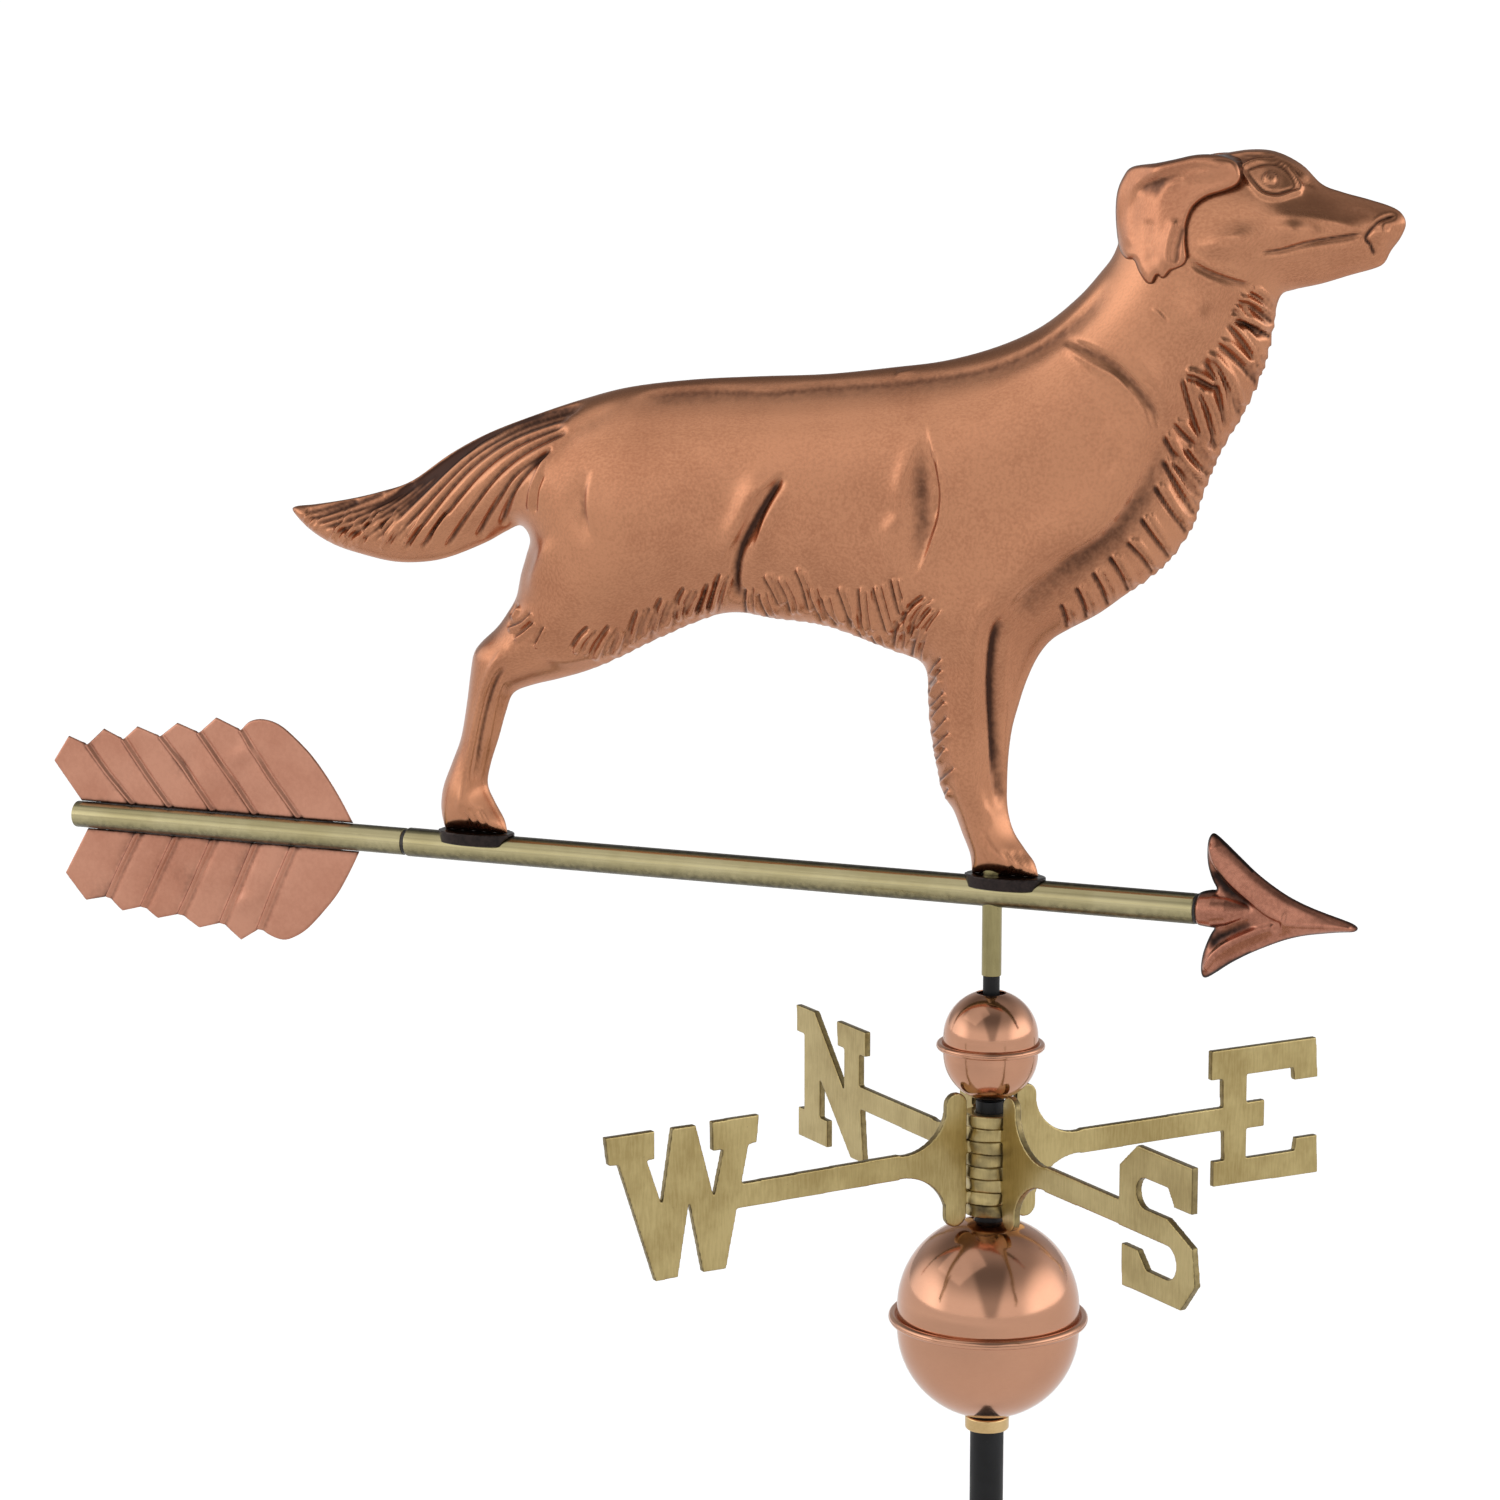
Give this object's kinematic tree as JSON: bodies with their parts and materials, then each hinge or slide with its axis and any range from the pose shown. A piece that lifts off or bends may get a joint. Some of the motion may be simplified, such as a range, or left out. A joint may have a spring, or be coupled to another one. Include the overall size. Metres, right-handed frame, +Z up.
{
  "type": "weather vane",
  "caption": "Full-bodied metal dog standing on a wind arrow, turning on a spindle above two metal balls and four compass-letter arms on a mast rod.",
  "frame": {"origin": "centre of the mast rod's foot", "axes": "+Z up the mast, +X along the arrow to its point at rest, +Y to the dog's left"},
  "size_m": [0.833, 0.3712, 0.8675],
  "materials": {
    "black_steel": "satin black rod",
    "plain_steel": "plain machined",
    "collar_brass": "polished",
    "polished_copper": "mirror polished copper",
    "cast_brass": "brushed casting with dark edges",
    "tube_brass": "drawn tube, dull",
    "solder": "blackened solder",
    "dark_copper": "blackened copper",
    "sheet_copper": "satin copper sheet",
    "dog_copper": "hand-worked copper, satin"
  },
  "bodies": {
    "mast": {"mast_rod": "black_steel", "neck_spindle": "black_steel", "thrust_ball": "plain_steel", "mast_collar": "collar_brass", "mast_collar_screw": "plain_steel", "large_ball_upper_half": "polished_copper", "large_ball_lower_half": "polished_copper", "small_ball_upper_half": "polished_copper", "small_ball_lower_half": "polished_copper"},
    "directionals": {"north_arm": "cast_brass", "north_set_screw": "plain_steel", "east_arm": "cast_brass", "east_set_screw": "plain_steel", "south_arm": "cast_brass", "south_set_screw": "plain_steel", "west_arm": "cast_brass", "west_set_screw": "plain_steel"},
    "vane": {"stem_tube": "tube_brass", "stem_cap": "tube_brass", "arrow_front_tube": "tube_brass", "arrow_rear_tube": "tube_brass", "tail_joint_ferrule": "tube_brass", "tail_end_cap": "tube_brass", "upper_feather": "sheet_copper", "lower_feather": "sheet_copper", "upper_feather_solder": "solder", "lower_feather_solder": "solder", "socket_solder_ring": "solder", "arrowhead_right_half": "sheet_copper", "arrowhead_left_half": "sheet_copper", "hind_foot_saddle": "dark_copper", "front_foot_saddle": "dark_copper", "dog_right_shell": "dog_copper", "dog_left_shell": "dog_copper", "right_ear": "dog_copper", "left_ear": "dog_copper"}
  },
  "joints": [
    {"name": "vane_spin", "type": "hinge", "parent": "mast", "child": "vane", "pos_m": [0, 0, 0.461], "axis": [0, 0, 1], "continuous": true},
    {"name": "directionals_set", "type": "hinge", "parent": "mast", "child": "directionals", "pos_m": [0, 0, 0.31], "axis": [0, 0, 1], "continuous": true}
  ]
}
